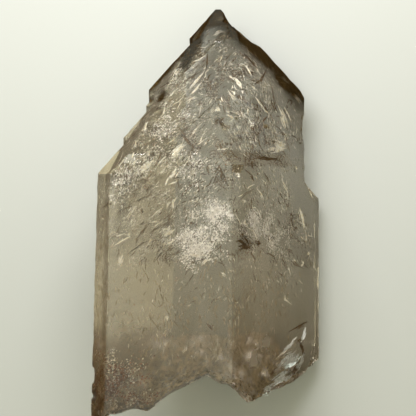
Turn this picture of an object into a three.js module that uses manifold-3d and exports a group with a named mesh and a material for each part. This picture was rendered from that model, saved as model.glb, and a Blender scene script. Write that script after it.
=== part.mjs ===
// A natural smoky quartz point, lying on its broad back prism face.
//
// It is one solid. The crystal grew in parallel stages that share their face directions, so its ledges and its
// stepped outline are the union of those stages. Its foot is the ragged break where it left its rock.
//
// The stages are written in the crystal's own frame, in millimetres: +Z is the c-axis towards the tip, -Y is the
// front, and the c-axis through the tip is x = y = 0. The finished mesh is laid down with its front face up.

import * as THREE from "three";
import { ConvexGeometry } from "three/addons/geometries/ConvexGeometry.js";
import { mergeVertices } from "three/addons/utils/BufferGeometryUtils.js";
import Module from "manifold-3d";

const wasm = await Module();
wasm.setup();

const { degToRad, mapLinear } = THREE.MathUtils;

// Quartz angles: six prism faces stand 60 degrees apart, and each tip face slopes away from the c-axis.
const FIRST_FACE = degToRad(210);
const FACE_STEP = degToRad(60);
const TIP_FACE_ANGLE = degToRad(51.8);

// The stages share one front tip face. Its plane meets the c-axis at this height, and this is where a front prism
// face with a given reach and lean turns into it.
const FRONT_TIP = 80.48;
function underFrontTip(reach, lean) {
  const slope = Math.tan(TIP_FACE_ANGLE);
  return (FRONT_TIP - reach * slope) / (1 - Math.tan(degToRad(lean)) * slope);
}

// Each growth stage lists its six faces in turn: front left, front, front right, back right, back, back left.
// reach is a prism face's distance from the c-axis at the foot of the crystal, lean is how far that face tips
// inwards on the way up, shoulder is the height where it turns into its tip face, and foot ends the stage.
const UPRIGHT = [0, 0, 0, 0, 0, 0];
const TAPERED = [1.5, 0.6, 0.5, 0.5, 0, 1.2];
const STAGES = {
  tip: {
    reach: [5.2, 5.1, 3.6, 3.6, 3.9, 5.2],
    lean: UPRIGHT,
    shoulder: [75.2, 74.3, 76.4, 76.4, 75.9, 75.2],
    foot: 60,
  },
  upper: {
    reach: [14.2, 13.6, 13.6, 14.8, 6.1, 8.8],
    lean: UPRIGHT,
    shoulder: [65.0, underFrontTip(13.6, 0), 64.9, 63.5, 72.3, 65.0],
    foot: 30,
  },
  highLedge: {
    reach: [15.0, 16.2, 13.0, 14.0, 5.2, 8.7],
    lean: UPRIGHT,
    shoulder: [61.9, underFrontTip(16.2, 0), 58.0, 58.0, 66.0, 61.9],
    foot: 30,
  },
  lowLedge: {
    reach: [20.8, 19.2, 13.0, 14.0, 5.6, 9.1],
    lean: UPRIGHT,
    shoulder: [55.6, underFrontTip(19.2, 0), 55.0, 55.0, 62.0, 55.6],
    foot: 30,
  },
  lower: {
    reach: [28.1, 22.7, 15.7, 16.9, 6.8, 11.55],
    lean: TAPERED,
    shoulder: [48.6, underFrontTip(22.7, 0.6), 50.3, 43.6, 57.5, 48.8],
    foot: 0,
  },
  sideRib: {
    reach: [0, 20, 14.6, 18.3, 5.9, 10],
    lean: UPRIGHT,
    shoulder: [60, 60, 44, 44, 60, 60],
    foot: 9,
  },
};

// The break at the foot, seen a little to the right of square on. Its crest follows this outline of
// [distance across, height], and lies this deep from front to back: [distance across, depth].
const BREAK_TURN = degToRad(7);
const BREAK_OUTLINE = [
  [-36, 3],
  [-25.1, 2],
  [-23.4, 0],
  [-20.9, 2.6],
  [-16.4, 4.2],
  [-13.5, 3.7],
  [-10.4, 6.5],
  [-5.5, 9],
  [-2.4, 10.5],
  [-0.5, 9.1],
  [1.6, 8.7],
  [5.4, 4.8],
  [7.6, 5.9],
  [14.4, 8],
  [16.4, 9.6],
  [18.2, 11.4],
  [36, 12],
];
const BREAK_CREST = [
  [-36, -14],
  [-24.5, -13.4],
  [-23.4, -16],
  [-21.5, -20.4],
  [-14, -20.8],
  [0, -22.2],
  [3.5, -21],
  [7, -15.4],
  [9, -10.4],
  [11.3, -4.8],
  [14.5, -0.4],
  [16.4, 1.4],
  [17.6, -2],
  [36, 0],
];

// How steeply the break rises from its crest, and the ripples that run over it.
const FRONT_RISE = 0.22;
const BACK_RISE = 0.22;
const RIPPLE_HEIGHT = 0.4;
const RIPPLE_GROWTH = 0.1;
const RIPPLE_LONG = 0.6;
const RIPPLE_SHORT = 1.0;

// The block of rock that the crystal broke from: its plan, its middle from front to back, its lowest level and
// the size of the small flats that make up the break.
const ROCK_ACROSS = 62;
const ROCK_DEEP = 46;
const ROCK_MIDDLE = -8;
const ROCK_BASE = -12;
const ROCK_FLAT = 1.25;

// Conchoidal scars, each the dent of a ball, made of small flats.
const SCAR_FLAT = 1.5;
const SCARS = {
  lowerRightFace: { centre: [45.5, -19.4, 2], radius: 36.5 },
  ribFoot: { centre: [22.5, 4.5, 8], radius: 5.2 },
  tipRight: { centre: [11.7, 0, 85], radius: 12 },
  rightEdge: { centre: [23.9, 1.2, 57.7], radius: 8 },
  breakLeft: { centre: [-11, -4, -2.4], radius: 13 },
  breakMiddle: { centre: [-1, -4, 4.6], radius: 10 },
  breakBack: { centre: [-3, 4, 3.8], radius: 13 },
};

// Crumbled chips at the lower left corner: each is a faceted splinter with its own length, width and turn.
const CHIPS = [
  { centre: [-23.1, -16.8, 10.3], size: [1.5, 1.6, 2.2], turn: 0.3 },
  { centre: [-22.6, -18.2, 6.4], size: [1.4, 2.2, 1.7], turn: 0.9 },
  { centre: [-21.6, -20.4, 3.4], size: [1.1, 1.3, 1.2], turn: 1.6 },
  { centre: [-18.2, -22.6, 2.6], size: [1.3, 1.4, 0.9], turn: 2.2 },
];

// Points closer than this are one point, and planes whose normals span less than this don't meet.
const WELD = 1e-4;
const PARALLEL = 1e-6;

// A closed geometry as a solid that can be joined and cut.
function solidOf(geometry) {
  const bare = new THREE.BufferGeometry();
  bare.setAttribute("position", geometry.getAttribute("position"));
  bare.setIndex(geometry.getIndex());
  const merged = mergeVertices(bare, WELD);
  const mesh = new wasm.Mesh({
    numProp: 3,
    vertProperties: new Float32Array(merged.attributes.position.array),
    triVerts: new Uint32Array(merged.index.array),
  });
  return new wasm.Manifold(mesh);
}

// A solid's surface as a plain geometry.
function geometryOf(solid) {
  const mesh = solid.getMesh();
  const geometry = new THREE.BufferGeometry();
  geometry.setAttribute("position", new THREE.BufferAttribute(mesh.vertProperties, mesh.numProp));
  geometry.setIndex(new THREE.BufferAttribute(mesh.triVerts, 1));
  return geometry;
}

// The point where three planes meet, or null where they don't.
function meeting(a, b, c) {
  const rows = new THREE.Matrix3().set(...a.normal, ...b.normal, ...c.normal);
  if (Math.abs(rows.determinant()) < PARALLEL) return null;
  return new THREE.Vector3(-a.constant, -b.constant, -c.constant).applyMatrix3(rows.invert());
}

// The convex body behind all the planes: its corners are where three of them meet inside the rest.
function bodyBehind(planes) {
  const corners = [];
  for (let i = 0; i < planes.length; i++) {
    for (let j = i + 1; j < planes.length; j++) {
      for (let k = j + 1; k < planes.length; k++) {
        const corner = meeting(planes[i], planes[j], planes[k]);
        if (corner && planes.every((plane) => plane.distanceToPoint(corner) < WELD)) corners.push(corner);
      }
    }
  }
  return solidOf(new ConvexGeometry(corners));
}

// One growth stage: six prism faces, the six tip faces above them, and a flat foot.
function stageSolid({ reach, lean, shoulder, foot }) {
  const planes = [new THREE.Plane(new THREE.Vector3(0, 0, -1), foot)];
  reach.forEach((distance, face) => {
    const angle = FIRST_FACE + face * FACE_STEP;
    const out = new THREE.Vector3(Math.cos(angle), Math.sin(angle), 0);
    const tilt = degToRad(lean[face]);
    const side = out.clone().multiplyScalar(Math.cos(tilt)).setZ(Math.sin(tilt));
    const base = out.clone().multiplyScalar(distance);
    planes.push(new THREE.Plane().setFromNormalAndCoplanarPoint(side, base));
    const slope = out.clone().multiplyScalar(Math.sin(TIP_FACE_ANGLE)).setZ(Math.cos(TIP_FACE_ANGLE));
    const edge = out.clone().multiplyScalar(distance - shoulder[face] * Math.tan(tilt)).setZ(shoulder[face]);
    planes.push(new THREE.Plane().setFromNormalAndCoplanarPoint(slope, edge));
  });
  return bodyBehind(planes);
}

// The value at a position along an outline of [position, value] points joined by straight lines.
function valueAlong(outline, position) {
  const next = outline.findIndex(([end]) => end >= position);
  const [from, low] = outline[next - 1];
  const [to, high] = outline[next];
  return mapLinear(position, from, to, low, high);
}

// Height of the break: it rises to the front and the back of its crest, under crossing ripples.
function breakHeight(across, deep) {
  const away = deep - valueAlong(BREAK_CREST, across);
  const rise = away < 0 ? -away * FRONT_RISE : away * BACK_RISE;
  const long = Math.sin(RIPPLE_SHORT * across + RIPPLE_LONG * deep);
  const cross = Math.sin(RIPPLE_SHORT * deep - RIPPLE_LONG * across);
  const ripple = long * cross * Math.min(RIPPLE_HEIGHT, Math.abs(away) * RIPPLE_GROWTH);
  return valueAlong(BREAK_OUTLINE, across) + rise + ripple;
}

// The rock under the break: a block whose top carries the break.
function rockSolid() {
  const columns = Math.round(ROCK_ACROSS / ROCK_FLAT);
  const rows = Math.round(ROCK_DEEP / ROCK_FLAT);
  const rock = new THREE.BoxGeometry(ROCK_ACROSS, ROCK_DEEP, 1, columns, rows, 1).translate(0, ROCK_MIDDLE, 0);
  const place = rock.getAttribute("position");
  for (let i = 0; i < place.count; i++) {
    const top = place.getZ(i) > 0;
    place.setZ(i, top ? breakHeight(place.getX(i), place.getY(i)) : ROCK_BASE);
  }
  return solidOf(rock.rotateZ(BREAK_TURN));
}

function scarSolid({ centre, radius }) {
  const ball = new THREE.IcosahedronGeometry(radius, Math.ceil(radius / SCAR_FLAT));
  return solidOf(ball.translate(...centre));
}

function chipSolid({ centre, size, turn }) {
  const splinter = new THREE.IcosahedronGeometry(1, 0).rotateX(turn).scale(...size);
  return solidOf(splinter.translate(...centre));
}

const grown = Object.values(STAGES)
  .map(stageSolid)
  .reduce((whole, stage) => whole.add(stage));
const losses = [rockSolid(), ...Object.values(SCARS).map(scarSolid), ...CHIPS.map(chipSolid)];
const quartz = losses.reduce((whole, loss) => whole.subtract(loss), grown);

const crystal = new THREE.Mesh(
  geometryOf(quartz),
  new THREE.MeshStandardMaterial({ color: 0x8f826b, roughness: 0.12, metalness: 0 }),
);
crystal.name = "crystal";

// Laid on the back face: the c-axis turns to +Y and the front face to +Z.
crystal.rotation.x = -Math.PI / 2;
const box = new THREE.Box3().setFromObject(crystal);
const middle = box.getCenter(new THREE.Vector3());
crystal.position.set(-middle.x, -middle.y, -box.min.z);

const part = new THREE.Group();
part.add(crystal);
export default part;
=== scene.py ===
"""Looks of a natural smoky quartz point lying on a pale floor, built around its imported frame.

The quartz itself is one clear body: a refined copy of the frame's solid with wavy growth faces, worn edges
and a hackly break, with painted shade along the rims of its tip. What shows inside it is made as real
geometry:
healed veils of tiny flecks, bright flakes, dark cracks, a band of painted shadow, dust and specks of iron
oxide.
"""

from __future__ import annotations

import logging
import math
import random
from dataclasses import dataclass, field
from enum import Enum
from typing import Any, Sequence

import bmesh
import bpy
import numpy as np
from mathutils import Matrix, Quaternion, Vector, kdtree, noise
from mathutils.bvhtree import BVHTree

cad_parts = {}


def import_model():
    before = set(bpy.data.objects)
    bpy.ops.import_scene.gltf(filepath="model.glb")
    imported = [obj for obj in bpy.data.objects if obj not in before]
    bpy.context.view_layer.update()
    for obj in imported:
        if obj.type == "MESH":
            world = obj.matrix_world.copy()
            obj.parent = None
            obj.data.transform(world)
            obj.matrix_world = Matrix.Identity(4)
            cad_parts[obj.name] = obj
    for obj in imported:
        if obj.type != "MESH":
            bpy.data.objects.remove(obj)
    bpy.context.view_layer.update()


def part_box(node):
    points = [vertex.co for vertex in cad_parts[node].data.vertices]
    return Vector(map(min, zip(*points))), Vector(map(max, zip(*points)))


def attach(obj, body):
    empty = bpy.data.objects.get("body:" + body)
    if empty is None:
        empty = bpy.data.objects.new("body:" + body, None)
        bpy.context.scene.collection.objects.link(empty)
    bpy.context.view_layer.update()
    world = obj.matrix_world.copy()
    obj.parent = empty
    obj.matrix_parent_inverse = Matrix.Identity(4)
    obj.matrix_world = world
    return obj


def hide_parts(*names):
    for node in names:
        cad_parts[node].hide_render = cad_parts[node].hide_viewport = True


LOG = logging.getLogger("smoky_quartz")

MM = 0.001
NODE = "crystal"
BODY = "root"

# Quartz: the c-axis lies along +Y, and the front face looks up.
QUARTZ_IOR = 1.544
PRISM_FACES = 6
PRISM_FIRST = math.radians(90)
FACE_STEP = math.radians(60)
TIP_FACE_ANGLE = math.radians(51.8)

# The sRGB curve: a straight toe, then a power.
SRGB_TOE = 0.04045
SRGB_SLOPE = 12.92
SRGB_OFFSET = 0.055
SRGB_POWER = 2.4

# Sockets of a Mix node, by number: its two numbers, its two colours and the blend of the colours.
NUMBER_A = 2
NUMBER_B = 3
COLOUR_A = 6
COLOUR_B = 7
BLEND = 2


def linear(hex_colour: str) -> tuple[float, float, float, float]:
    """Turn an sRGB hex colour into linear values.

    Args:
        hex_colour: Six hex digits after a hash mark.

    Returns:
        Linear red, green and blue, and an alpha of one.
    """
    parts = [int(hex_colour[i : i + 2], 16) / 255 for i in (1, 3, 5)]
    red, green, blue = (
        part / SRGB_SLOPE if part <= SRGB_TOE else ((part + SRGB_OFFSET) / (1 + SRGB_OFFSET)) ** SRGB_POWER
        for part in parts
    )
    return red, green, blue, 1.0


def add_node(tree: bpy.types.NodeTree, kind: str, links: dict[Any, Any], **settings: Any) -> bpy.types.Node:
    """Add a node to a tree, with its settings, values and links.

    Args:
        tree: The shader or geometry tree.
        kind: The node's type name.
        links: For each input, by name or index, an output socket to link or a plain value.
        **settings: Properties of the node itself.

    Returns:
        The new node.
    """
    node = tree.nodes.new(kind)
    for name, value in settings.items():
        setattr(node, name, value)
    for key, value in links.items():
        if isinstance(value, bpy.types.NodeSocket):
            tree.links.new(value, node.inputs[key])
        else:
            node.inputs[key].default_value = value
    return node


def new_material(name: str) -> tuple[bpy.types.Material, bpy.types.NodeTree]:
    """Make an empty node material.

    Args:
        name: The material's name.

    Returns:
        The material and its cleared node tree.
    """
    material = bpy.data.materials.new(name)
    material.use_nodes = True
    material.node_tree.nodes.clear()
    return material, material.node_tree


def add_values(mesh: bpy.types.Mesh, name: str, values: Sequence[float]) -> None:
    """Keep one number for each point of a mesh, under a name that a node tree can read."""
    mesh.attributes.new(name, "FLOAT", "POINT").data.foreach_set("value", values)


def add_piece(name: str, mesh: bpy.types.Mesh, material: bpy.types.Material) -> bpy.types.Object:
    """Link a mesh to the scene as a piece of the object.

    Args:
        name: The piece's name.
        mesh: Its finished mesh, placed in the row frame.
        material: Its only material.

    Returns:
        The piece, riding on the body.
    """
    mesh.materials.clear()
    mesh.materials.append(material)
    piece = bpy.data.objects.new(name, mesh)
    bpy.context.scene.collection.objects.link(piece)
    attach(piece, BODY)
    LOG.info("%s: %d faces", name, len(mesh.polygons))
    return piece


@dataclass(frozen=True)
class SmokyQuartz:
    """Clear quartz, browned by natural radiation.

    Its grown faces are glassy, and hazy where they are etched. Along the rims of the tip and over the tip, a
    dark brown tint is painted shade.
    """

    absorbed: str = "#d2bd8a"
    absorption_per_m: float = 10.0
    gloss: float = 0.3
    face_roughness: float = 0.05
    break_roughness: float = 0.42
    # The etched haze is thickest at the foot, and fades out up the crystal in patches.
    haze_roughness: float = 0.4
    haze_mm: float = 11.0
    haze_detail: float = 4.0
    haze_grit: float = 0.55
    etched_mm: tuple[float, float] = (12.0, -20.0)
    # Fine growth lines cross the prism faces.
    striation_mm: float = 0.9
    striation_depth_mm: float = 0.05
    striation_strength: float = 0.6
    striation_detail: float = 2.0
    striation_stretch: tuple[float, float, float] = (0.06, 1.0, 0.06)
    # The smoke lies in zones drawn out along the crystal.
    zone_colour: str = "#a8936c"
    zone_mm: float = 5.0
    zone_detail: float = 5.0
    zone_grit: float = 0.6
    zone_stretch: tuple[float, float, float] = (1.0, 0.3, 1.0)
    # The dark brown along the tip's rims is painted shade, for the dark surroundings seen through them.
    rim_shade_colour: str = "#2a1a06"
    rust_colour: str = "#5e3a22"
    break_colour: str = "#66573d"

    def material(self) -> bpy.types.Material:
        """Build the material: plain transmission, IOR and absorption.

        Returns:
            The quartz material.
        """
        material, tree = new_material("natural smoky quartz")
        place = add_node(tree, "ShaderNodeTexCoord", {}).outputs["Object"]
        surface = add_node(
            tree,
            "ShaderNodeBsdfPrincipled",
            {
                "Base Color": self.tint(tree, place),
                "Normal": self.growth_lines(tree, place),
                "Roughness": self.roughness(tree, place),
                "IOR": QUARTZ_IOR,
                "Specular IOR Level": self.gloss,
                "Transmission Weight": 1.0,
            },
        )
        smoke = add_node(
            tree,
            "ShaderNodeVolumeAbsorption",
            {"Color": linear(self.absorbed), "Density": self.absorption_per_m},
        )
        add_node(
            tree,
            "ShaderNodeOutputMaterial",
            {"Surface": surface.outputs[0], "Volume": smoke.outputs[0]},
        )
        return material

    def tint(self, tree: bpy.types.NodeTree, place: bpy.types.NodeSocket) -> bpy.types.NodeSocket:
        """Colour the light that passes: smoke zones, then painted shade along the tip's rims, the break and
        the rust over them.

        Args:
            tree: The material's tree.
            place: Object coordinates.

        Returns:
            The tint's colour.
        """
        drawn_out = add_node(tree, "ShaderNodeMapping", {"Vector": place, "Scale": self.zone_stretch})
        zones = add_node(
            tree,
            "ShaderNodeTexNoise",
            {
                "Vector": drawn_out.outputs[0],
                "Scale": 1 / (self.zone_mm * MM),
                "Detail": self.zone_detail,
                "Roughness": self.zone_grit,
            },
        )
        smoke = add_node(tree, "ShaderNodeAttribute", {}, attribute_name="smoke")
        patchy = add_node(
            tree, "ShaderNodeMath", {0: zones.outputs["Fac"], 1: smoke.outputs["Fac"]}, operation="MULTIPLY"
        )
        clear = (1, 1, 1, 1)
        tint = add_node(
            tree,
            "ShaderNodeMix",
            {"Factor": patchy.outputs[0], COLOUR_A: clear, COLOUR_B: linear(self.zone_colour)},
            data_type="RGBA",
        )
        # The first layer is painted shade along the tip's rims.
        layers = {"rim_shade": self.rim_shade_colour, "broken": self.break_colour, "rust": self.rust_colour}
        for name, colour in layers.items():
            share = add_node(tree, "ShaderNodeAttribute", {}, attribute_name=name)
            tint = add_node(
                tree,
                "ShaderNodeMix",
                {"Factor": share.outputs["Fac"], COLOUR_A: tint.outputs[BLEND], COLOUR_B: linear(colour)},
                data_type="RGBA",
            )
        return tint.outputs[BLEND]

    def roughness(self, tree: bpy.types.NodeTree, place: bpy.types.NodeSocket) -> bpy.types.NodeSocket:
        """Roughen the surface: patches of haze on the faces, the hackly break, and the glassy scar.

        Args:
            tree: The material's tree.
            place: Object coordinates.

        Returns:
            The roughness.
        """
        cloud = add_node(
            tree,
            "ShaderNodeTexNoise",
            {
                "Vector": place,
                "Scale": 1 / (self.haze_mm * MM),
                "Detail": self.haze_detail,
                "Roughness": self.haze_grit,
            },
        )
        along = add_node(tree, "ShaderNodeSeparateXYZ", {"Vector": place})
        etched = add_node(
            tree,
            "ShaderNodeMapRange",
            {
                "Value": along.outputs["Y"],
                "From Min": self.etched_mm[0] * MM,
                "From Max": self.etched_mm[1] * MM,
            },
            interpolation_type="SMOOTHSTEP",
        )
        hazy = add_node(
            tree, "ShaderNodeMath", {0: etched.outputs[0], 1: cloud.outputs["Fac"]}, operation="MULTIPLY"
        )
        face = add_node(
            tree,
            "ShaderNodeMapRange",
            {"Value": hazy.outputs[0], "To Min": self.face_roughness, "To Max": self.haze_roughness},
        )
        rough = face.outputs[0]
        for name, value in {"broken": self.break_roughness, "scar": self.face_roughness}.items():
            share = add_node(tree, "ShaderNodeAttribute", {}, attribute_name=name)
            mixed = add_node(
                tree,
                "ShaderNodeMix",
                {"Factor": share.outputs["Fac"], NUMBER_A: rough, NUMBER_B: value},
                data_type="FLOAT",
            )
            rough = mixed.outputs[0]
        return rough

    def growth_lines(self, tree: bpy.types.NodeTree, place: bpy.types.NodeSocket) -> bpy.types.NodeSocket:
        """Rule the faces with fine growth lines across the crystal.

        Args:
            tree: The material's tree.
            place: Object coordinates.

        Returns:
            The bent normal.
        """
        stretched = add_node(tree, "ShaderNodeMapping", {"Vector": place, "Scale": self.striation_stretch})
        lines = add_node(
            tree,
            "ShaderNodeTexNoise",
            {
                "Vector": stretched.outputs[0],
                "Scale": 1 / (self.striation_mm * MM),
                "Detail": self.striation_detail,
            },
        )
        relief = add_node(
            tree,
            "ShaderNodeBump",
            {
                "Height": lines.outputs["Fac"],
                "Strength": self.striation_strength,
                "Distance": self.striation_depth_mm * MM,
            },
        )
        return relief.outputs[0]


@dataclass(frozen=True)
class Inclusion:
    """What shows inside the quartz: a thin flake or speck with its own colour and gloss."""

    name: str
    dark: str
    light: str
    roughness: float
    grain_mm: float
    detail: float = 3.0
    dark_until: float = 0.35
    light_from: float = 0.65

    def material(self) -> bpy.types.Material:
        """Build the material: two colours mottled at the inclusion's own grain.

        Returns:
            The inclusion's material.
        """
        material, tree = new_material(self.name)
        place = add_node(tree, "ShaderNodeTexCoord", {})
        mottle = add_node(
            tree,
            "ShaderNodeTexNoise",
            {
                "Vector": place.outputs["Object"],
                "Scale": 1 / (self.grain_mm * MM),
                "Detail": self.detail,
            },
        )
        ramp = add_node(tree, "ShaderNodeValToRGB", {"Fac": mottle.outputs["Fac"]})
        low, high = ramp.color_ramp.elements
        low.position = self.dark_until
        low.color = linear(self.dark)
        high.position = self.light_from
        high.color = linear(self.light)
        surface = add_node(
            tree,
            "ShaderNodeBsdfPrincipled",
            {"Base Color": ramp.outputs["Color"], "Roughness": self.roughness},
        )
        add_node(tree, "ShaderNodeOutputMaterial", {"Surface": surface.outputs[0]})
        return material


class Finish(Enum):
    """The inclusions' finishes."""

    # A crack's thin film of air throws the light back, so a healed veil reads as pale silvery flecks.
    AIR_FILM = Inclusion("air film in a healed crack", "#a9a189", "#f6f2e6", 0.2, 0.5)
    # An open cleft holds a thicker film, which mirrors the light as a white streak.
    OPEN_CLEFT = Inclusion("air film in an open cleft", "#e2d6b8", "#fffdf4", 0.15, 0.5)
    # A crack healed with many tiny cavities looks milky, nearly white.
    MILKY_FILM = Inclusion("milky healed crack", "#d0c9bd", "#faf6f0", 0.4, 0.6)
    # Seen edge-on or from below, the same films look like dark slivers, and a dense band of them is painted
    # shadow below the bright flakes.
    SHADED_FILM = Inclusion("shaded film in a crack", "#291a09", "#5f4628", 0.3, 0.8)
    # Dust in the growth zones near the break: dull brown threads along the crystal.
    DUSTY_FILM = Inclusion("dust in growth zones", "#6a5b41", "#a3947a", 0.5, 1.1)
    # On the broken end the same dust cakes in crumbs.
    BREAK_DUST = Inclusion("dust caked on the break", "#6d6048", "#a89a7e", 0.7, 1.4)
    # The glassy scar's steps mirror the sky, so they look bluish white.
    GLASSY_STEP = Inclusion("glassy step of the scar", "#aab3b2", "#f6fbff", 0.15, 0.5)
    # Iron oxide carried into cracks: rusty brown specks and stains.
    IRON_OXIDE = Inclusion("iron oxide", "#452413", "#94592f", 0.6, 0.4)


@dataclass
class PhotoView:
    """The camera that looks down on the lying crystal, and the way from a pixel into the quartz."""

    pixels: int = 416
    mm_per_pixel: float = 0.195
    distance_mm: float = 600.0
    turn: float = math.radians(7)
    sensor_mm: float = 36.0
    # The tip lies on the c-axis, this far across and above the floor, and shows at this pixel.
    axis_mm: tuple[float, float] = (1.92, 6.8)
    tip_pixel: tuple[float, float] = (220.0, 9.5)
    clip_start_m: float = 0.05
    # Inside the quartz a sight line goes on from just past the skin, and ends before the far side.
    past_skin_mm: float = 0.05
    most_of_room: float = 0.9
    right: Vector = field(init=False)
    up: Vector = field(init=False)
    towards: Vector = field(init=False)
    target: Vector = field(init=False)
    eye: Vector = field(init=False)
    solid: BVHTree = field(init=False)

    def __post_init__(self) -> None:
        """Work out the camera's place from the tip of the frame's solid."""
        _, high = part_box(NODE)
        self.right = Vector((math.cos(self.turn), 0, -math.sin(self.turn)))
        self.up = Vector((0, 1, 0))
        self.towards = Vector((math.sin(self.turn), 0, math.cos(self.turn)))
        tip = Vector((self.axis_mm[0] * MM, high.y, self.axis_mm[1] * MM))
        across = (self.pixels / 2 - self.tip_pixel[0]) * self.mm_per_pixel * MM
        down = (self.pixels / 2 - self.tip_pixel[1]) * self.mm_per_pixel * MM
        self.target = tip + self.right * across - self.up * down
        self.eye = self.target + self.towards * self.distance_mm * MM

    def build(self) -> None:
        """Add the camera to the scene and make it the active one."""
        data = bpy.data.cameras.new("camera")
        data.sensor_width = self.sensor_mm
        data.lens = self.sensor_mm * self.distance_mm / (self.pixels * self.mm_per_pixel)
        data.clip_start = self.clip_start_m
        camera = bpy.data.objects.new("camera", data)
        turned = Matrix((self.right, self.up, self.towards)).transposed().to_4x4()
        camera.matrix_world = Matrix.Translation(self.eye) @ turned
        bpy.context.scene.collection.objects.link(camera)
        bpy.context.scene.camera = camera

    def look_through(self, skin: bpy.types.Mesh) -> None:
        """Keep the quartz surface that the sight lines meet."""
        places = [vertex.co.copy() for vertex in skin.vertices]
        self.solid = BVHTree.FromPolygons(places, [tuple(face.vertices) for face in skin.polygons])

    def ray(self, pixel: Sequence[float]) -> Vector:
        """Give the direction of sight through a pixel of the photograph.

        Args:
            pixel: Column and row.

        Returns:
            The direction from the eye.
        """
        across = (pixel[0] - self.pixels / 2) * self.mm_per_pixel * MM
        rise = (self.pixels / 2 - pixel[1]) * self.mm_per_pixel * MM
        point = self.target + self.right * across + self.up * rise
        return (point - self.eye).normalized()

    def inside(self, pixel: Sequence[float], depth_mm: float) -> Vector | None:
        """Follow the sight line of a pixel into the quartz, bent at the face it meets.

        Args:
            pixel: Pixel of the photograph.
            depth_mm: Way to go inside the quartz.

        Returns:
            The point reached, or None where the pixel misses the crystal.
        """
        sight = self.ray(pixel)
        spot, normal, _, _ = self.solid.ray_cast(self.eye, sight)
        if spot is None:
            return None
        cosine = -sight.dot(normal)
        bend = 1 / QUARTZ_IOR
        inner = math.sqrt(1 - bend**2 * (1 - cosine**2))
        bent = (sight * bend + normal * (bend * cosine - inner)).normalized()
        _, _, _, room = self.solid.ray_cast(spot + bent * self.past_skin_mm * MM, bent)
        way = min(depth_mm * MM, self.most_of_room * room if room else 0)
        return spot + bent * way

    def holds(self, point: Vector, margin_mm: float) -> bool:
        """Say whether a point lies inside the quartz, at least this far from its surface."""
        near, normal, _, away = self.solid.find_nearest(point)
        return away > margin_mm * MM and (point - near).dot(normal) < 0


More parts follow.
